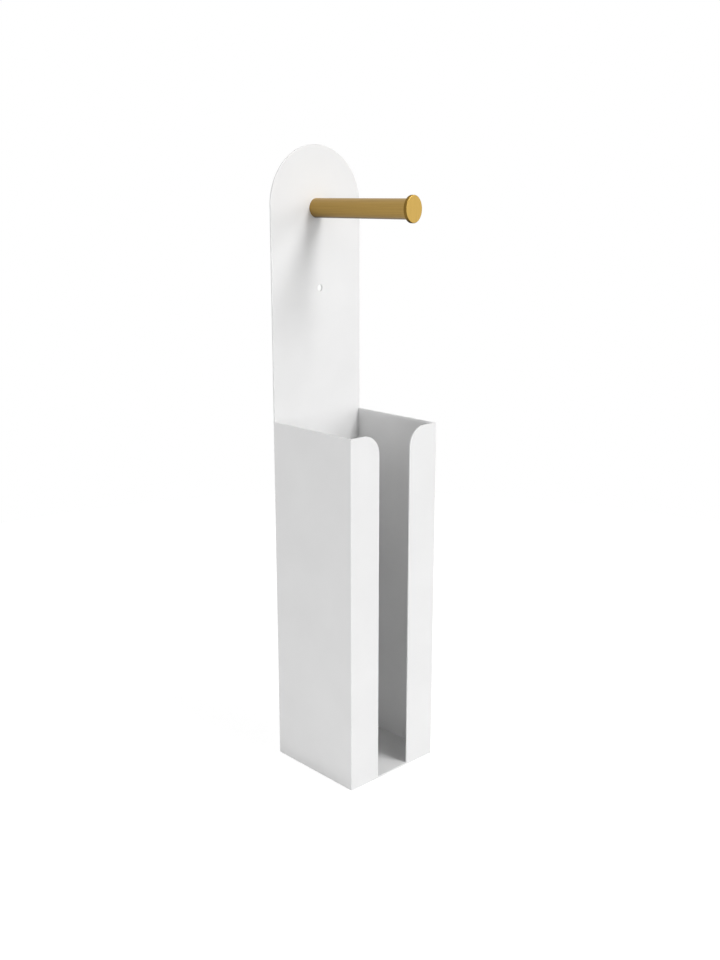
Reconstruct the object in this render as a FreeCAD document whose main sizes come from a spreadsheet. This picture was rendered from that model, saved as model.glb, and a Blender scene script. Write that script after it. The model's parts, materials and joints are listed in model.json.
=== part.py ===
"""Toilet paper stand: a folded sheet-steel roll store with a tall arched back plate and a brass roll arm.

Millimetres, +Z up, front towards -Y. The origin is on the floor, in the middle of the store's footprint.
The sheet pieces are cut, folded and welded. The arm is a tube that screws on a stud on the back plate.
"""
import FreeCAD
import Part
import Sketcher
import os

# Driving sizes: name, value in millimetres (counts are plain numbers), what it is.
SIZES = [
    ("plate_width", 130.0, "width of the back plate and of the store"),
    ("plate_height", 701.0, "floor to the top of the arch"),
    ("sheet_thickness", 2.0, "steel sheet"),
    ("store_depth", 126.0, "back of the plate to the front of the store, outside"),
    ("store_height", 403.0, "floor to the rim of the store"),
    ("slot_width", 47.0, "open slot down the middle of the front"),
    ("slot_corner_radius", 22.5, "rounded top corners beside the slot"),
    ("fold_round", 1.0, "outside radius of the front corners, at most twice the sheet"),
    ("edge_round", 0.4, "softening of the cut edges under the coating"),
    ("weld_gap", 0.1, "room round the floor panel before welding"),
    ("wall_hole_diameter", 7.5, "screw hole to the wall"),
    ("wall_hole_height", 547.0, "floor to the screw hole"),
    ("wall_hole_offset", 4.0, "screw hole to the right of the middle"),
    ("arm_height", 634.0, "floor to the axis of the arm"),
    ("arm_diameter", 21.0, "outside of the arm tube"),
    ("arm_wall", 1.5, "wall of the arm tube"),
    ("arm_length", 144.5, "arm tube, plate to cap"),
    ("cap_width", 23.5, "end cap, across"),
    ("cap_rise", 4.5, "how much taller than wide the end cap is"),
    ("cap_thickness", 4.0, "end cap"),
    ("cap_edge_round", 1.0, "front edge of the end cap"),
    ("spigot_length", 12.0, "spigot of the cap inside the tube"),
    ("press_clearance", 0.05, "radial room of the pieces pressed into the tube"),
    ("bush_length", 20.0, "threaded bush in the plate end of the tube"),
    ("bush_inset", 0.3, "bush set back so that the tube's rim seats on the plate"),
    ("stud_diameter", 6.0, "thread of the weld stud"),
    ("stud_length", 16.0, "weld stud, plate to tip"),
    ("stud_foot_diameter", 8.0, "welded foot of the stud"),
    ("stud_foot_thickness", 1.0, "welded foot of the stud"),
    ("thread_clearance", 0.05, "room between the stud and the bush"),
    ("tip_chamfer", 0.8, "lead-in of the stud and of the spigot"),
    ("weld_leg", 2.5, "leg of the inside corner welds"),
    ("weld_length", 20.0, "one stitch of weld"),
    ("rear_weld_margin", 45.0, "floor or rim to the nearest stitch in the rear corners"),
    ("rear_weld_count", 4, "stitches in each rear corner"),
    ("floor_weld_margin", 12.0, "corner of the store to the nearest stitch on the floor"),
]

# Places that several pieces share, worked out from the driving sizes.
HALF_WIDTH = "sizes.plate_width / 2"
HALF_SLOT = "sizes.slot_width / 2"
PLATE_BACK = "sizes.store_depth / 2"
PLATE_FRONT = "(sizes.store_depth / 2 - sizes.sheet_thickness)"
STORE_FRONT = "-sizes.store_depth / 2"
RETURN_INSIDE = "(sizes.sheet_thickness - sizes.store_depth / 2)"
WALL_INSIDE = "(sizes.plate_width / 2 - sizes.sheet_thickness)"
FLOOR_TOP = "sizes.sheet_thickness"
ARCH_CENTRE = "(sizes.plate_height - sizes.plate_width / 2)"
TUBE_BORE = "(sizes.arm_diameter / 2 - sizes.arm_wall)"
PRESSED_RADIUS = "(sizes.arm_diameter / 2 - sizes.arm_wall - sizes.press_clearance)"

AXIS_X = FreeCAD.Vector(1, 0, 0)
AXIS_Y = FreeCAD.Vector(0, 1, 0)
AXIS_Z = FreeCAD.Vector(0, 0, 1)
FULL_TURN = 360
NEAR = 1e-4

doc = FreeCAD.newDocument("toilet_paper_stand")
sheet = doc.addObject("Spreadsheet::Sheet", "sizes")
for row, (alias, value, note) in enumerate(SIZES, start=1):
    sheet.set(f"A{row}", note)
    sheet.set(f"B{row}", str(value))
    sheet.setAlias(f"B{row}", alias)
doc.recompute()


def number(expression):
    """Present value of an expression in the named sizes."""
    return float(sheet.evalExpression(expression))


# Building blocks of a piece


def new_body(label, base=("0", "0", "0"), turn=FreeCAD.Rotation()):
    """One piece, placed by three expressions and turned as a whole."""
    body = doc.addObject("PartDesign::Body", label)
    body.Label = label
    body.Placement = FreeCAD.Placement(FreeCAD.Vector(), turn)
    for axis, expression in zip("xyz", base):
        body.setExpression(f"Placement.Base.{axis}", expression)
    return body


def new_sketch(body, name, plane):
    """Empty sketch on one of the body's own origin planes."""
    sketch = body.newObject("Sketcher::SketchObject", f"{body.Label}_{name}")
    support = [feature for feature in body.Origin.OriginFeatures if feature.Role == plane]
    sketch.AttachmentSupport = [(support[0], "")]
    sketch.MapMode = "FlatFace"
    return sketch


def drive(sketch, kind, references, expression):
    """Dimension of a sketch that follows an expression."""
    index = sketch.addConstraint(Sketcher.Constraint(kind, *references, number(expression)))
    sketch.setExpression(f"Constraints[{index}]", expression)


def arc_round(centre, start, end):
    """Arc of a circle round centre, counter-clockwise from start to end."""
    circle = Part.Circle(centre, AXIS_Z, (start - centre).Length)
    return Part.ArcOfCircle(circle, circle.parameter(start), circle.parameter(end))


def draw_profile(sketch, corners, centres=None):
    """Closed outline through corners given as pairs of expressions.

    centres maps a side's number to its centre's two expressions: that side is an arc of at most a half
    circle, and a half circle turns left.
    """
    centres = centres or {}
    count = len(corners)
    points = [FreeCAD.Vector(number(across), number(up), 0) for across, up in corners]
    starts = [1] * count
    for side, start in enumerate(points):
        end = points[(side + 1) % count]
        if side not in centres:
            sketch.addGeometry(Part.LineSegment(start, end))
            continue
        centre = FreeCAD.Vector(*[number(expression) for expression in centres[side]], 0)
        if (start - centre).cross(end - centre).z > -NEAR:
            sketch.addGeometry(arc_round(centre, start, end))
        else:
            sketch.addGeometry(arc_round(centre, end, start))
            starts[side] = 2
    for side, (across, up) in enumerate(corners):
        following = (side + 1) % count
        joint = (side, 3 - starts[side], following, starts[following])
        sketch.addConstraint(Sketcher.Constraint("Coincident", *joint))
        drive(sketch, "DistanceX", (side, starts[side]), across)
        drive(sketch, "DistanceY", (side, starts[side]), up)
    for side, (across, up) in centres.items():
        chord = points[(side + 1) % count] - points[side]
        if abs(chord.x) > abs(chord.y):
            drive(sketch, "DistanceY", (side, 3), up)
        else:
            drive(sketch, "DistanceX", (side, 3), across)


def draw_upright_oval(sketch, width, height):
    """Ellipse round the sketch's origin, taller than it is wide."""
    tall = FreeCAD.Vector(0, number(height) / 2, 0)
    wide = FreeCAD.Vector(-number(width) / 2, 0, 0)
    oval = sketch.addGeometry(Part.Ellipse(tall, wide, FreeCAD.Vector()))
    sketch.exposeInternalGeometry(oval)
    long_axis = oval + 1
    short_axis = oval + 2
    sketch.addConstraint(Sketcher.Constraint("Coincident", oval, 3, -1, 1))
    sketch.addConstraint(Sketcher.Constraint("Vertical", long_axis))
    drive(sketch, "Distance", (long_axis,), height)
    drive(sketch, "Distance", (short_axis,), width)


def pad(body, sketch, length):
    """Solid raised from a sketch along its normal."""
    feature = body.newObject("PartDesign::Pad", f"{sketch.Name}_pad")
    feature.Profile = sketch
    feature.setExpression("Length", length)
    doc.recompute()
    return feature


def turn_round_arm(body, sketch):
    """Solid of revolution about the arm's axis, which is the sketch's level axis."""
    feature = body.newObject("PartDesign::Revolution", f"{sketch.Name}_turned")
    feature.Profile = sketch
    feature.ReferenceAxis = (sketch, ["H_Axis"])
    feature.Angle = FULL_TURN
    doc.recompute()
    return feature


def edges_where(feature, test):
    """Names of the edges of a feature that pass a test."""
    return [f"Edge{place}" for place, edge in enumerate(feature.Shape.Edges, start=1) if test(edge)]


def soften(body, feature, kind, amount, test):
    """Fillet or chamfer on the edges of the last feature that pass a test."""
    names = edges_where(feature, test)
    if not names:
        raise RuntimeError(f"{body.Label}: no edge to soften")
    dressing = body.newObject(f"PartDesign::{kind}", f"{feature.Name}_{kind}")
    dressing.Base = (feature, names)
    dressing.setExpression("Radius" if kind == "Fillet" else "Size", amount)
    doc.recompute()
    return dressing


def middle(edge):
    """Point half way along an edge, in the body's own frame."""
    return edge.valueAt((edge.FirstParameter + edge.LastParameter) / 2)


def crosses_sheet(edge):
    """True for a short straight edge that runs through the sheet's thickness."""
    return isinstance(edge.Curve, Part.Line) and abs(edge.Length - number("sizes.sheet_thickness")) < NEAR


# Sheet pieces


def back_plate():
    """Tall plate with a half-round top and the screw hole to the wall."""
    body = new_body("back_plate", ("0", PLATE_BACK, "0"))
    outline = new_sketch(body, "outline", "XZ_Plane")
    corners = [
        (f"-{HALF_WIDTH}", "0"),
        (HALF_WIDTH, "0"),
        (HALF_WIDTH, ARCH_CENTRE),
        (f"-{HALF_WIDTH}", ARCH_CENTRE),
    ]
    draw_profile(outline, corners, {2: ("0", ARCH_CENTRE)})
    plate = pad(body, outline, "sizes.sheet_thickness")

    def on_rim(edge):
        return not crosses_sheet(edge) and middle(edge).z > NEAR

    softened = soften(body, plate, "Fillet", "sizes.edge_round", on_rim)
    hole_place = new_sketch(body, "hole_place", "XZ_Plane")
    centre = FreeCAD.Vector(number("sizes.wall_hole_offset"), number("sizes.wall_hole_height"), 0)
    hole_place.addGeometry(Part.Circle(centre, AXIS_Z, number("sizes.wall_hole_diameter / 2")))
    drive(hole_place, "DistanceX", (0, 3), "sizes.wall_hole_offset")
    drive(hole_place, "DistanceY", (0, 3), "sizes.wall_hole_height")
    drive(hole_place, "Diameter", (0,), "sizes.wall_hole_diameter")
    hole = body.newObject("PartDesign::Pocket", "back_plate_wall_hole")
    hole.Profile = hole_place
    hole.Type = "ThroughAll"
    hole.Reversed = True
    doc.recompute()
    if hole.Shape.Volume > softened.Shape.Volume - NEAR:
        raise RuntimeError("back_plate: the screw hole cuts nothing")
    return body


def side_panel(label, side):
    """Side wall folded round the front corner, with a rounded top beside the slot. side is -1 or 1.

    The sheet is grooved on the inside before it is folded, so the corner is crisp outside and square inside.
    """

    def across(expression):
        return f"{side} * ({expression})"

    body = new_body(label)
    section = new_sketch(body, "section", "XY_Plane")
    fold_across = f"{HALF_WIDTH} - sizes.fold_round"
    fold_along = f"{STORE_FRONT} + sizes.fold_round"
    corners = [
        (across(HALF_WIDTH), fold_along),
        (across(HALF_WIDTH), PLATE_FRONT),
        (across(WALL_INSIDE), PLATE_FRONT),
        (across(WALL_INSIDE), RETURN_INSIDE),
        (across(HALF_SLOT), RETURN_INSIDE),
        (across(HALF_SLOT), STORE_FRONT),
        (across(fold_across), STORE_FRONT),
    ]
    draw_profile(section, corners, {6: (across(fold_across), fold_along)})
    panel = pad(body, section, "sizes.store_height")
    rim = number("sizes.store_height")
    slot_edge = side * number(HALF_SLOT)
    corner_radius = number("sizes.slot_corner_radius")

    def at_slot_corner(edge):
        place = middle(edge)
        return crosses_sheet(edge) and abs(place.x - slot_edge) < NEAR and abs(place.z - rim) < NEAR

    def on_rim(edge):
        if crosses_sheet(edge):
            return False
        place = middle(edge)
        at_top = abs(place.z - rim) < NEAR
        beside_slot = abs(place.x - slot_edge) < NEAR
        is_arc = isinstance(edge.Curve, Part.Circle)
        return at_top or beside_slot or is_arc and abs(edge.Curve.Radius - corner_radius) < NEAR

    cornered = soften(body, panel, "Fillet", "sizes.slot_corner_radius", at_slot_corner)
    soften(body, cornered, "Fillet", "sizes.edge_round", on_rim)
    return body


def floor_panel():
    """Floor between the walls, with a tongue that closes the foot of the slot flush with the front."""
    half_floor = f"({WALL_INSIDE} - sizes.weld_gap)"
    half_tongue = f"({HALF_SLOT} - sizes.weld_gap)"
    front = f"({RETURN_INSIDE} + sizes.weld_gap)"
    body = new_body("floor_panel")
    outline = new_sketch(body, "outline", "XY_Plane")
    right_half = [
        (half_tongue, STORE_FRONT),
        (half_tongue, front),
        (half_floor, front),
        (half_floor, PLATE_FRONT),
    ]
    left_half = [(f"-({across})", along) for across, along in reversed(right_half)]
    draw_profile(outline, right_half + left_half)
    pad(body, outline, FLOOR_TOP)
    return body


# Welds in the inside corners


def weld(label, corner, legs, count="1", spread="0"):
    """Stitches of weld in an inside corner.

    legs are the directions of the two legs. The stitches run along their cross product from the corner
    point, and spread is the distance from the start of the first stitch to the start of the last.
    """
    run = legs[0].cross(legs[1])
    body = new_body(label, corner, FreeCAD.Rotation(legs[0], legs[1], run, "ZXY"))
    section = new_sketch(body, "section", "XY_Plane")
    corners = [("0", "0"), ("sizes.weld_leg", "0"), ("0", "sizes.weld_leg")]
    crown_centre = "-sizes.weld_leg / 4"
    draw_profile(section, corners, {1: (crown_centre, crown_centre)})
    stitch = pad(body, section, "sizes.weld_length")
    if number(count) > 1:
        row = body.newObject("PartDesign::LinearPattern", f"{label}_row")
        row.Originals = [stitch]
        row.Direction = (section, ["N_Axis"])
        row.setExpression("Length", spread)
        row.setExpression("Occurrences", count)
        body.Tip = row
        doc.recompute()
    return body


def welds():
    """Stitches that hold the walls and the floor, kept to the corners that stay out of sight."""
    left_inside = f"-{WALL_INSIDE}"
    rear_spread = "sizes.store_height - 2 * sizes.rear_weld_margin - sizes.weld_length"
    floor_spread = f"2 * {WALL_INSIDE} - 2 * sizes.floor_weld_margin - sizes.weld_length"
    return_middle = f"({WALL_INSIDE} + {HALF_SLOT}) / 2"
    rear_top = "sizes.store_height - sizes.rear_weld_margin"
    behind_margin = f"{PLATE_FRONT} - sizes.floor_weld_margin"
    one_each_side = "2"
    return [
        weld("left_rear_weld", (left_inside, PLATE_FRONT, rear_top), (AXIS_X, -AXIS_Y),
             "sizes.rear_weld_count", rear_spread),
        weld("right_rear_weld", (WALL_INSIDE, PLATE_FRONT, "sizes.rear_weld_margin"), (-AXIS_X, -AXIS_Y),
             "sizes.rear_weld_count", rear_spread),
        weld("floor_rear_weld", (f"{WALL_INSIDE} - sizes.floor_weld_margin", PLATE_FRONT, FLOOR_TOP),
             (-AXIS_Y, AXIS_Z), one_each_side, floor_spread),
        weld("floor_front_weld", (f"-{return_middle} - sizes.weld_length / 2", RETURN_INSIDE, FLOOR_TOP),
             (AXIS_Y, AXIS_Z), one_each_side, f"2 * {return_middle}"),
        weld("floor_left_weld", (left_inside, behind_margin, FLOOR_TOP), (AXIS_X, AXIS_Z)),
        weld("floor_right_weld", (WALL_INSIDE, f"{behind_margin} - sizes.weld_length", FLOOR_TOP),
             (-AXIS_X, AXIS_Z)),
    ]


# Roll arm, drawn along its axis from the plate's front and turned to point forwards


def arm_body(label):
    """Piece of the arm: its own Y axis runs out from the plate along the arm."""
    seat = ("0", PLATE_FRONT, "sizes.arm_height")
    return new_body(label, seat, FreeCAD.Rotation(AXIS_Z, 180))


def arm_stud():
    """Stud welded to the plate by its foot, which leaves the back of the plate flat."""
    foot = "sizes.stud_foot_thickness"
    foot_radius = "sizes.stud_foot_diameter / 2"
    thread_radius = "sizes.stud_diameter / 2"
    body = arm_body("arm_stud")
    profile = new_sketch(body, "profile", "YZ_Plane")
    corners = [
        ("0", "0"),
        ("sizes.stud_length", "0"),
        ("sizes.stud_length", f"{thread_radius} - sizes.tip_chamfer"),
        ("sizes.stud_length - sizes.tip_chamfer", thread_radius),
        (foot, thread_radius),
        (foot, foot_radius),
        ("0", foot_radius),
    ]
    draw_profile(profile, corners)
    turn_round_arm(body, profile)
    return body


def arm_bush():
    """Bush pressed into the tube, threaded on the stud and hollowed for the stud's foot."""
    foot_room = "sizes.stud_foot_thickness + sizes.thread_clearance"
    foot_radius = "sizes.stud_foot_diameter / 2 + sizes.thread_clearance"
    thread_radius = "sizes.stud_diameter / 2 + sizes.thread_clearance"
    body = arm_body("arm_bush")
    profile = new_sketch(body, "profile", "YZ_Plane")
    corners = [
        ("sizes.bush_inset", foot_radius),
        (foot_room, foot_radius),
        (foot_room, thread_radius),
        ("sizes.bush_length", thread_radius),
        ("sizes.bush_length", PRESSED_RADIUS),
        ("sizes.bush_inset", PRESSED_RADIUS),
    ]
    draw_profile(profile, corners)
    turn_round_arm(body, profile)
    return body


def arm_tube():
    """Brass-finished tube that carries the roll and hides the stud and the bush."""
    body = arm_body("arm_tube")
    profile = new_sketch(body, "profile", "YZ_Plane")
    corners = [
        ("0", TUBE_BORE),
        ("sizes.arm_length", TUBE_BORE),
        ("sizes.arm_length", "sizes.arm_diameter / 2"),
        ("0", "sizes.arm_diameter / 2"),
    ]
    draw_profile(profile, corners)
    turn_round_arm(body, profile)
    return body


def arm_end_cap():
    """Upright oval stop at the arm's free end, with a round spigot pressed into the tube."""
    inner_end = "(sizes.arm_length - sizes.spigot_length)"
    outer_end = "(sizes.arm_length + sizes.cap_thickness)"
    body = arm_body("arm_end_cap")
    outline = new_sketch(body, "outline", "XZ_Plane")
    outline.setExpression("AttachmentOffset.Base.z", f"-{outer_end}")
    draw_upright_oval(outline, "sizes.cap_width", "(sizes.cap_width + sizes.cap_rise)")
    stop = pad(body, outline, "sizes.cap_thickness")

    def is_front_edge(edge):
        return abs(middle(edge).y - number(outer_end)) < NEAR

    def is_back_edge(edge):
        return abs(middle(edge).y - number("sizes.arm_length")) < NEAR

    rounded = soften(body, stop, "Fillet", "sizes.cap_edge_round", is_front_edge)
    soften(body, rounded, "Fillet", "sizes.edge_round", is_back_edge)
    spigot = new_sketch(body, "spigot", "YZ_Plane")
    corners = [
        (inner_end, "0"),
        ("sizes.arm_length", "0"),
        ("sizes.arm_length", PRESSED_RADIUS),
        (f"{inner_end} + sizes.tip_chamfer", PRESSED_RADIUS),
        (inner_end, f"{PRESSED_RADIUS} - sizes.tip_chamfer"),
    ]
    draw_profile(spigot, corners)
    turn_round_arm(body, spigot)
    return body


pieces = [
    back_plate(),
    side_panel("left_side_panel", -1),
    side_panel("right_side_panel", 1),
    floor_panel(),
    *welds(),
    arm_stud(),
    arm_bush(),
    arm_tube(),
    arm_end_cap(),
]
doc.recompute()

for thing in doc.Objects:
    if "Invalid" in thing.State or "Error" in thing.State:
        raise RuntimeError(f"{thing.Label}: {thing.State}")
for piece in pieces:
    if piece.Shape.isNull() or not piece.Shape.isValid() or not piece.Shape.Solids:
        raise RuntimeError(f"{piece.Label}: no valid solid")

os.makedirs("parts", exist_ok=True)
for piece in pieces:
    piece.Shape.exportStep(os.path.join("parts", f"{piece.Label}.step"))
    print(f"{piece.Label}: {len(piece.Shape.Solids)} solid(s), {piece.Shape.Volume / 1000:.2f} cm3")
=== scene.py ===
"""Looks of a toilet paper stand: a white sheet-steel store, a tall arched plate and a brass roll arm."""
import json
import math

import bmesh
import bpy
from mathutils import Matrix, Vector

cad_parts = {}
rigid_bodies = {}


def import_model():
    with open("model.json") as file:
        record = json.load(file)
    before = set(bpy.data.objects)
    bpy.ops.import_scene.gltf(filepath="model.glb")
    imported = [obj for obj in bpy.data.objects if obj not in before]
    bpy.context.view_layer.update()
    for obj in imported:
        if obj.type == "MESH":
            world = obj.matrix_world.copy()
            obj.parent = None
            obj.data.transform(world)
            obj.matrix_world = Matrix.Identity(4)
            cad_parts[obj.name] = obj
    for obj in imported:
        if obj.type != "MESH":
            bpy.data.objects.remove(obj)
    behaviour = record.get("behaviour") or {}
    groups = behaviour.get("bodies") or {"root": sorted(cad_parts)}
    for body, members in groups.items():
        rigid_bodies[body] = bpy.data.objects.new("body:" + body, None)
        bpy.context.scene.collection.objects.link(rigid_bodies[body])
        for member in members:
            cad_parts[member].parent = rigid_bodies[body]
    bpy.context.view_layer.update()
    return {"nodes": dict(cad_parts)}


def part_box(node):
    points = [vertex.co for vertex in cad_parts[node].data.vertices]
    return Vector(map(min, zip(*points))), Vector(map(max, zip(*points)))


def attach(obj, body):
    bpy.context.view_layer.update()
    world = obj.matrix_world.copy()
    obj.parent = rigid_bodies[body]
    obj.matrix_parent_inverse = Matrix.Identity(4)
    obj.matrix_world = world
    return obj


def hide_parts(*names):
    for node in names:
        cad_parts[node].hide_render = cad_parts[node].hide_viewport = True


# Blender's own first objects are cleared away before the stand is loaded.
for leftover in list(bpy.data.objects):
    bpy.data.objects.remove(leftover)

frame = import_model()

MM = 0.001
AXES = range(3)


# Colour and node helpers

def linear(code):
    """The linear colour of an sRGB hex value such as "e0e0e0"."""
    shares = [int(code[place:place + 2], 16) / 255 for place in (0, 2, 4)]
    steps = [share / 12.92 if share <= 0.04045 else ((share + 0.055) / 1.055) ** 2.4 for share in shares]
    return (*steps, 1.0)


def add(tree, kind, settings=None, **sockets):
    """Adds a node to the tree. A socket's value is a number, a colour or another node's output to link.

    A socket is named with underscores for spaces, or by its place, such as _6 for the seventh.
    """
    made = tree.nodes.new(kind)
    for name, value in (settings or {}).items():
        setattr(made, name, value)
    for name, value in sockets.items():
        key = int(name[1:]) if name[1:].isdigit() else name.replace("_", " ")
        if isinstance(value, bpy.types.NodeSocket):
            tree.links.new(value, made.inputs[key])
        else:
            made.inputs[key].default_value = value
    return made


def new_material(name):
    """An empty node material and its tree."""
    made = bpy.data.materials.new(name)
    made.use_nodes = True
    made.node_tree.nodes.clear()
    return made, made.node_tree


def grains_per_metre(millimetres):
    """The scale of a noise pattern whose grains are this many millimetres apart."""
    return 1.0 / (millimetres * MM)


# Finishes

# Most of a noise lies between these two values, so a finish goes from its darker to its lighter tone there.
NOISE_LOW = 0.3
NOISE_HIGH = 0.7


def satin_white_powder_coat():
    """Polyester powder, sprayed on sheet steel and baked: a satin white skin with a fine orange peel.

    The skin lies a little thicker in some places than in others, which the eye sees as a faint change of
    tone and gloss over a hand's width, and the peel breaks up the edges of reflections.
    """
    peel_mm = 1.6
    cloud_mm = 70.0
    coat, tree = new_material("satin_white_powder_coat")
    place = add(tree, "ShaderNodeTexCoord").outputs["Object"]
    cloud = add(tree, "ShaderNodeTexNoise", Vector=place, Scale=grains_per_metre(cloud_mm), Detail=3.0)
    tone = add(tree, "ShaderNodeValToRGB", Fac=cloud.outputs["Fac"])
    dark, light = tone.color_ramp.elements
    dark.position, light.position = NOISE_LOW, NOISE_HIGH
    dark.color, light.color = linear("e0e0e0"), linear("e4e4e4")
    gloss = add(tree, "ShaderNodeMapRange", Value=cloud.outputs["Fac"], To_Min=0.40, To_Max=0.48)
    peel = add(tree, "ShaderNodeTexNoise", Vector=place, Scale=grains_per_metre(peel_mm), Detail=1.0)
    skin = add(tree, "ShaderNodeBump", Strength=0.6, Distance=0.03 * MM, Height=peel.outputs["Fac"])
    shader = add(
        tree, "ShaderNodeBsdfPrincipled",
        Base_Color=tone.outputs["Color"], Roughness=gloss.outputs["Result"], IOR=1.5,
        Normal=skin.outputs["Normal"],
    )
    add(tree, "ShaderNodeOutputMaterial", Surface=shader.outputs["BSDF"])
    return coat


def coated_weld_bead():
    """Weld metal under the same baked powder: a satin white, flecked where the skin is thin on the ripples.

    The powder flows off the crests, so the eye sees the bead a little greyer and duller than the sheet.
    """
    fleck_mm = 1.2
    bead, tree = new_material("powder_coated_weld_bead")
    place = add(tree, "ShaderNodeTexCoord").outputs["Object"]
    fleck = add(tree, "ShaderNodeTexNoise", Vector=place, Scale=grains_per_metre(fleck_mm), Detail=2.0)
    tone = add(tree, "ShaderNodeValToRGB", Fac=fleck.outputs["Fac"])
    dark, light = tone.color_ramp.elements
    dark.position, light.position = NOISE_LOW, NOISE_HIGH
    dark.color, light.color = linear("dadada"), linear("e3e3e3")
    gloss = add(tree, "ShaderNodeMapRange", Value=fleck.outputs["Fac"], To_Min=0.44, To_Max=0.54)
    skin = add(tree, "ShaderNodeBump", Strength=0.3, Distance=0.05 * MM, Height=fleck.outputs["Fac"])
    shader = add(
        tree, "ShaderNodeBsdfPrincipled",
        Base_Color=tone.outputs["Color"], Roughness=gloss.outputs["Result"], IOR=1.5,
        Normal=skin.outputs["Normal"],
    )
    add(tree, "ShaderNodeOutputMaterial", Surface=shader.outputs["BSDF"])
    return bead


def brushed_lines(tree, stretch, line_mm):
    """The marks of abrasive cloth on metal: a noise whose grains are drawn out along one way."""
    place = add(tree, "ShaderNodeTexCoord").outputs["Object"]
    along = add(tree, "ShaderNodeMapping", Vector=place, Scale=stretch)
    lines = add(
        tree, "ShaderNodeTexNoise",
        Vector=along.outputs["Vector"], Scale=grains_per_metre(line_mm), Detail=4.0, Roughness=0.6,
    )
    return place, lines.outputs["Fac"]


def brushed_tube_brass():
    """Drawn brass tube, brushed lengthwise with abrasive cloth and lacquered: a soft, dull gold.

    Fine lines run along the arm, each a little lighter, darker or duller. The underside is painted darker, a
    painted shade under the arm. Real brushing is some tenths of a millimetre apart, too fine to show here,
    so it is drawn at about a millimetre.
    """
    line_mm = 0.9
    # Painted shade: the height above the arm's lowest line over which its darker underside fades out.
    painted_shade_height = 2.6 * MM
    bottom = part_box("arm_tube")[0][2]
    brass, tree = new_material("lacquered_brass_tube_brushed_lengthwise")
    place, lines = brushed_lines(tree, stretch=(1, 0.01, 1), line_mm=line_mm)
    tone = add(tree, "ShaderNodeValToRGB", Fac=lines)
    dark, light = tone.color_ramp.elements
    dark.position, light.position = NOISE_LOW, NOISE_HIGH
    dark.color, light.color = linear("9b7e45"), linear("ae8f50")
    height = add(tree, "ShaderNodeSeparateXYZ", Vector=place).outputs["Z"]
    above_painted_shade = add(
        tree, "ShaderNodeMapRange", {"interpolation_type": "SMOOTHSTEP"},
        Value=height, From_Min=bottom, From_Max=bottom + painted_shade_height,
    )
    # Painted shade under the arm: the underside is painted a darker brass, 4a3a1c, fading out upwards.
    colour = add(
        tree, "ShaderNodeMix", {"data_type": "RGBA"},
        _0=above_painted_shade.outputs["Result"], _6=linear("4a3a1c"), _7=tone.outputs["Color"],
    )
    gloss = add(tree, "ShaderNodeMapRange", Value=lines, To_Min=0.36, To_Max=0.48)
    cut = add(tree, "ShaderNodeBump", Strength=0.2, Distance=0.03 * MM, Height=lines)
    shader = add(
        tree, "ShaderNodeBsdfPrincipled",
        Base_Color=colour.outputs[2], Metallic=1.0, Roughness=gloss.outputs["Result"],
        Normal=cut.outputs["Normal"],
    )
    add(tree, "ShaderNodeOutputMaterial", Surface=shader.outputs["BSDF"])
    return brass


def brushed_plate_brass():
    """Brass cut from plate, face brushed upright and cut edge left dull: a gold face in a darker rim.

    The face's gold is painted lighter than the tube's brass, a painted reflection of the bright light in
    front of it. The rim is painted darkest underneath, a painted shade as on the tube. The lines are drawn
    at about a millimetre, as on the tube.
    """
    line_mm = 0.8
    face_depth = 0.02 * MM
    edge_depth = 0.3 * MM
    edge_roughness = 0.7
    # Painted shade: the height above the cap's lowest line over which its darker underside fades out.
    painted_shade_height = 7.0 * MM
    _, front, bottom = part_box("arm_end_cap")[0]
    brass, tree = new_material("lacquered_brass_plate_brushed_upright")
    place, lines = brushed_lines(tree, stretch=(1, 1, 0.02), line_mm=line_mm)
    tone = add(tree, "ShaderNodeValToRGB", Fac=lines)
    dark, light = tone.color_ramp.elements
    dark.position, light.position = NOISE_LOW, NOISE_HIGH
    # Painted reflection: the face's gold is lighter than the tube's brass and stands in for the bright light
    # it faces.
    dark.color, light.color = linear("caa758"), linear("d6b161")
    spot = add(tree, "ShaderNodeSeparateXYZ", Vector=place)
    behind = add(
        tree, "ShaderNodeMapRange", {"interpolation_type": "SMOOTHSTEP"},
        Value=spot.outputs["Y"], From_Min=front + face_depth, From_Max=front + edge_depth,
    )
    above_painted_shade = add(
        tree, "ShaderNodeMapRange", {"interpolation_type": "SMOOTHSTEP"},
        Value=spot.outputs["Z"], From_Min=bottom, From_Max=bottom + painted_shade_height,
    )
    # The rim is a darker brass, 8c7033, painted darker still at the bottom, 3a2d14, as painted shade under
    # the cap.
    rim_and_painted_shade = add(
        tree, "ShaderNodeMix", {"data_type": "RGBA"},
        _0=above_painted_shade.outputs["Result"], _6=linear("3a2d14"), _7=linear("8c7033"),
    )
    colour = add(
        tree, "ShaderNodeMix", {"data_type": "RGBA"},
        _0=behind.outputs["Result"], _6=tone.outputs["Color"], _7=rim_and_painted_shade.outputs[2],
    )
    gloss = add(tree, "ShaderNodeMapRange", Value=lines, To_Min=0.30, To_Max=0.42)
    dulled = add(
        tree, "ShaderNodeMix", {"data_type": "FLOAT"},
        _0=behind.outputs["Result"], _2=gloss.outputs["Result"], _3=edge_roughness,
    )
    cut = add(tree, "ShaderNodeBump", Strength=0.2, Distance=0.03 * MM, Height=lines)
    shader = add(
        tree, "ShaderNodeBsdfPrincipled",
        Base_Color=colour.outputs[2], Metallic=1.0, Roughness=dulled.outputs[0],
        Normal=cut.outputs["Normal"],
    )
    add(tree, "ShaderNodeOutputMaterial", Surface=shader.outputs["BSDF"])
    return brass


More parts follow.
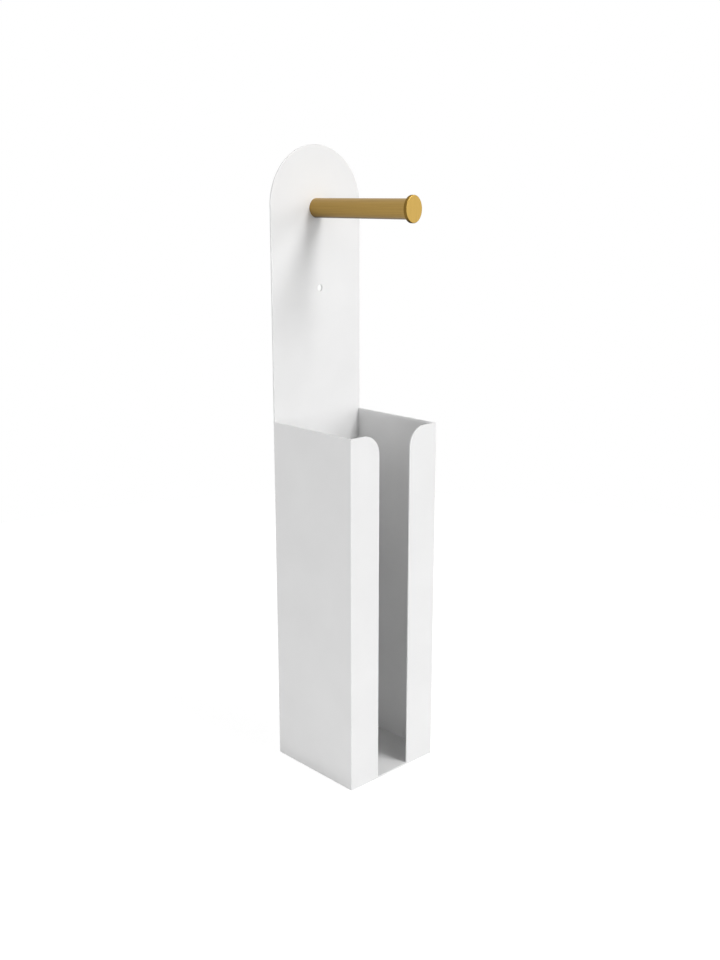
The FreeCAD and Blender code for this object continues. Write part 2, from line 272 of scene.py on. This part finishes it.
def zinc_plated_thread():
    """Bright zinc on rolled steel threads: grey metal, with a ridge for each turn of the thread."""
    pitch_mm = 1.0
    # At a scale of 1, the wave texture turns through this many radians over a metre.
    radians_per_metre = 20.0
    zinc, tree = new_material("zinc_plated_rolled_thread")
    place = add(tree, "ShaderNodeTexCoord").outputs["Object"]
    ridge = add(
        tree, "ShaderNodeTexWave", {"bands_direction": "Y"},
        Vector=place, Scale=2 * math.pi * grains_per_metre(pitch_mm) / radians_per_metre, Distortion=0.0,
    )
    tone = add(tree, "ShaderNodeValToRGB", Fac=ridge.outputs["Fac"])
    # Painted shade and highlight: the thread's valleys are painted darker and its crests lighter.
    valley, crest = tone.color_ramp.elements
    valley.color, crest.color = linear("9a9fa3"), linear("c9cdd0")
    thread = add(tree, "ShaderNodeBump", Strength=0.6, Distance=0.4 * MM, Height=ridge.outputs["Fac"])
    shader = add(
        tree, "ShaderNodeBsdfPrincipled",
        Base_Color=tone.outputs["Color"], Metallic=1.0, Roughness=0.35, Normal=thread.outputs["Normal"],
    )
    add(tree, "ShaderNodeOutputMaterial", Surface=shader.outputs["BSDF"])
    return zinc


def finish_pieces():
    """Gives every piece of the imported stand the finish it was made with."""
    finishes = {
        "white_powder_coat": satin_white_powder_coat(),
        "coated_weld": coated_weld_bead(),
        "zinc_steel": zinc_plated_thread(),
        "brushed_brass": brushed_tube_brass(),
        "plate_brass": brushed_plate_brass(),
    }
    for piece in frame["nodes"].values():
        slot = piece.material_slots[0]
        slot.material = finishes[slot.material.name.split(".")[0]]
    return finishes


# Weld beads in the inside corners of the store

SAME_PLACE = 0.01 * MM

# From one crest of the torch's ripples to the next, and the share of the bead's size that a valley loses
RIPPLE_PITCH = 1.8 * MM
RIPPLE_DEPTH = 0.14
RINGS_PER_RIPPLE = 4

# The length over which an end swells to full size, and the share of that size at its tip
END_TAPER = 2.4 * MM
END_SIZE = 0.35

# How far the middle of a bead's face lies below a quarter round, as a share of the bead's size
CROWN_DIP = 0.08
CROWN_STEPS = 8

# How far the face is drawn along the bead at half its length
LEAN = 0.9 * MM

# Edges that bend more than this are shown sharp.
SHARP_ANGLE = math.radians(40)


def stitch_boxes(node):
    """The lowest and highest corners of each stitch of a weld node."""
    solid = bmesh.new()
    solid.from_mesh(frame["nodes"][node].data)
    bmesh.ops.remove_doubles(solid, verts=solid.verts, dist=SAME_PLACE)
    boxed = set()
    boxes = []
    for first in solid.verts:
        if first in boxed:
            continue
        stitch = {first}
        growing = [first]
        while growing:
            for edge in growing.pop().link_edges:
                found = [vert for vert in edge.verts if vert not in stitch]
                stitch.update(found)
                growing.extend(found)
        boxed |= stitch
        low = Vector([min(vert.co[axis] for vert in stitch) for axis in AXES])
        high = Vector([max(vert.co[axis] for vert in stitch) for axis in AXES])
        boxes.append((low, high))
    solid.free()
    return boxes


def bead_size(along, length):
    """The size of a bead's section at a place along it, as a share of the full weld.

    It falls and rises with the ripples, and it is small at the tapered ends.
    """
    ripple = 1.0 - RIPPLE_DEPTH * abs(math.cos(math.pi * along / RIPPLE_PITCH))
    to_end = min(along, length - along)
    if to_end >= END_TAPER:
        return ripple
    swell = math.sqrt(1.0 - (1.0 - to_end / END_TAPER) ** 2)
    return ripple * (END_SIZE + (1.0 - END_SIZE) * swell)


def scale_about(shape, verts, centre, share):
    """Scales points about a centre."""
    bmesh.ops.scale(shape, vec=(share, share, share), space=Matrix.Translation(-centre), verts=verts)


def lean_ripples(verts, corner, run, length, leg):
    """Draws the face of a bead along its run, furthest at half its length, so that the ripples lean."""
    for vert in verts:
        along = (vert.co - corner).dot(run)
        height = ((vert.co - corner) - run * along).length / leg
        spare = min(along, length - along) / (length / 2)
        vert.co += run * LEAN * height * spare


def lay_bead(shape, low, high, store_middle):
    """Lays one rippled bead along the edge of a stitch's box that is furthest from the store's middle."""
    size = high - low
    run_axis = max(AXES, key=lambda axis: size[axis])
    length = size[run_axis]
    run = Vector([float(axis == run_axis) for axis in AXES])
    corner = Vector([
        low[axis] if store_middle[axis] > (low[axis] + high[axis]) / 2 else high[axis]
        for axis in AXES
    ])
    corner[run_axis] = low[run_axis]
    legs = []
    for side in AXES:
        if side != run_axis:
            leg = Vector((0.0, 0.0, 0.0))
            leg[side] = low[side] + high[side] - 2 * corner[side]
            legs.append(leg)
    outline = [shape.verts.new(corner)]
    for step in range(CROWN_STEPS + 1):
        angle = math.pi / 2 * step / CROWN_STEPS
        reach = 1.0 - CROWN_DIP * math.sin(2 * angle)
        turned = math.cos(angle) * legs[0] + math.sin(angle) * legs[1]
        outline.append(shape.verts.new(corner + reach * turned))
    end = shape.faces.new(outline)
    scale_about(shape, outline, corner, bead_size(0.0, length))
    made = list(outline)
    rings = round(length / RIPPLE_PITCH) * RINGS_PER_RIPPLE
    pitch = length / rings
    for ring in range(1, rings + 1):
        grown = bmesh.ops.extrude_face_region(shape, geom=[end, *end.edges])["geom"]
        end = next(part for part in grown if isinstance(part, bmesh.types.BMFace))
        front = [part for part in grown if isinstance(part, bmesh.types.BMVert)]
        bmesh.ops.translate(shape, vec=run * pitch, verts=front)
        growth = bead_size(ring * pitch, length) / bead_size((ring - 1) * pitch, length)
        scale_about(shape, front, corner + run * (ring * pitch), growth)
        made.extend(front)
    lean_ripples(made, corner, run, length, max(leg.length for leg in legs))


def weld_beads(finish):
    """Replaces each plain weld with beads that show the ripples of the torch."""
    left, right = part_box("left_side_panel"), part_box("right_side_panel")
    store_middle = (Vector(left[0]) + Vector(right[1])) / 2
    for node in [name for name in frame["nodes"] if name.endswith("_weld")]:
        shape = bmesh.new()
        for low, high in stitch_boxes(node):
            lay_bead(shape, low, high, store_middle)
        bmesh.ops.recalc_face_normals(shape, faces=shape.faces)
        for face in shape.faces:
            face.smooth = True
        for edge in shape.edges:
            edge.smooth = edge.calc_face_angle(0.0) < SHARP_ANGLE
        mesh = bpy.data.meshes.new(f"{node}_bead")
        shape.to_mesh(mesh)
        shape.free()
        mesh.materials.append(finish)
        bead = bpy.data.objects.new(f"{node}_bead", mesh)
        bpy.context.scene.collection.objects.link(bead)
        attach(bead, "root")
        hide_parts(node)


# Studio

# How far off the lamps stand, in metres, and the points of the stand that they are aimed at
LAMP_DISTANCE = 12.0
PLATE_AIM = (0, 0, 0.4)
STORE_AIM = (0, 0, 0.3)


def seen_directly(tree):
    """A value of 1 for rays from the camera and for rays off gloss or through glass, and 0 for the rest."""
    path = add(tree, "ShaderNodeLightPath")
    gloss = add(
        tree, "ShaderNodeMath", {"operation": "MAXIMUM"},
        _0=path.outputs["Is Camera Ray"], _1=path.outputs["Is Glossy Ray"],
    )
    both = add(
        tree, "ShaderNodeMath", {"operation": "MAXIMUM"},
        _0=gloss.outputs["Value"], _1=path.outputs["Is Transmission Ray"],
    )
    return both.outputs["Value"]


def studio_air(strength):
    """A white background that lights the stand softly from all round."""
    world = bpy.data.worlds.new("studio_air")
    bpy.context.scene.world = world
    world.use_nodes = True
    tree = world.node_tree
    tree.nodes.clear()
    soft = add(tree, "ShaderNodeBackground", Color=linear("ffffff"), Strength=strength)
    shown = add(tree, "ShaderNodeBackground", Color=linear("ffffff"), Strength=1.0)
    mix = add(
        tree, "ShaderNodeMixShader",
        _0=seen_directly(tree), _1=soft.outputs["Background"], _2=shown.outputs["Background"],
    )
    add(tree, "ShaderNodeOutputWorld", Surface=mix.outputs["Shader"])


def studio_floor(radius, glow):
    """A pale round floor that runs into the white background and keeps a faint shadow of the stand."""
    shape = bmesh.new()
    bmesh.ops.create_circle(shape, cap_ends=True, segments=96, radius=radius)
    mesh = bpy.data.meshes.new("studio_floor")
    shape.to_mesh(mesh)
    shape.free()
    floor = bpy.data.objects.new("studio_floor", mesh)
    bpy.context.scene.collection.objects.link(floor)
    paint, tree = new_material("pale_studio_floor")
    pale = add(tree, "ShaderNodeBsdfDiffuse", Color=linear("b4b4b4"))
    faint = add(tree, "ShaderNodeBsdfDiffuse", Color=linear("818181"))
    white = add(tree, "ShaderNodeEmission", Color=linear("ffffff"), Strength=glow)
    shown = add(tree, "ShaderNodeAddShader", _0=white.outputs["Emission"], _1=faint.outputs["BSDF"])
    mix = add(
        tree, "ShaderNodeMixShader",
        _0=seen_directly(tree), _1=pale.outputs["BSDF"], _2=shown.outputs["Shader"],
    )
    add(tree, "ShaderNodeOutputMaterial", Surface=mix.outputs["Shader"])
    mesh.materials.append(paint)


def soft_lamp(name, towards, aim, side, power, mirrored=False):
    """A square soft box that stands well off in a direction and faces the point it is aimed at.

    A lamp that isn't mirrored lights the stand but leaves no hot spot on the brass.
    """
    light = bpy.data.lights.new(name, "AREA")
    light.shape = "SQUARE"
    light.size = side
    light.energy = power
    lamp = bpy.data.objects.new(name, light)
    away = Vector(towards).normalized()
    lamp.location = Vector(aim) + away * LAMP_DISTANCE
    lamp.rotation_euler = away.to_track_quat("Z", "Y").to_euler()
    lamp.visible_glossy = mirrored
    bpy.context.scene.collection.objects.link(lamp)


def photo_camera():
    """The camera, where the photograph was taken from: off the left front corner, at about the arm's height.

    Its place and lens were fitted to the straight edges of the stand in the photograph.
    """
    lens = bpy.data.cameras.new("photo_camera")
    lens.sensor_width = 36.0
    lens.lens = 41.79
    camera = bpy.data.objects.new("photo_camera", lens)
    camera.location = (-0.8327, -0.8853, 0.6480)
    camera.rotation_euler = (math.radians(75.64), 0.0, math.radians(-43.51))
    bpy.context.scene.collection.objects.link(camera)
    bpy.context.scene.camera = camera


finishes = finish_pieces()
weld_beads(finishes["coated_weld"])

# The two key lamps cast the arm's long shadow and the front right one the short shadow beside its foot.
studio_air(strength=0.191)
studio_floor(radius=1.2, glow=0.90)
soft_lamp("key_lamp", towards=(0.33, -1.0, 1.0), aim=PLATE_AIM, side=4.4, power=868.0, mirrored=True)
soft_lamp("high_key_lamp", towards=(0.33, -1.0, 1.6), aim=PLATE_AIM, side=4.4, power=150.0, mirrored=True)
soft_lamp("front_fill", towards=(0.0, -1.0, 0.1), aim=PLATE_AIM, side=4.4, power=332.0)
soft_lamp("front_right_fill", towards=(1.0, -0.8, 0.4), aim=PLATE_AIM, side=5.0, power=264.0)
soft_lamp("front_left_fill", towards=(-1.0, -1.0, 0.02), aim=PLATE_AIM, side=3.0, power=43.0)
soft_lamp("left_fill", towards=(-1.0, -0.1, 0.0), aim=STORE_AIM, side=1.0, power=589.0)
soft_lamp("high_left_fill", towards=(-1.0, -0.1, 0.3), aim=STORE_AIM, side=5.5, power=203.0)
soft_lamp("right_fill", towards=(1.0, 0.2, 0.04), aim=STORE_AIM, side=3.0, power=420.0)
soft_lamp("back_fill", towards=(0.2, 1.0, 0.1), aim=PLATE_AIM, side=3.0, power=800.0)
photo_camera()
bpy.context.scene.view_settings.view_transform = "Standard"
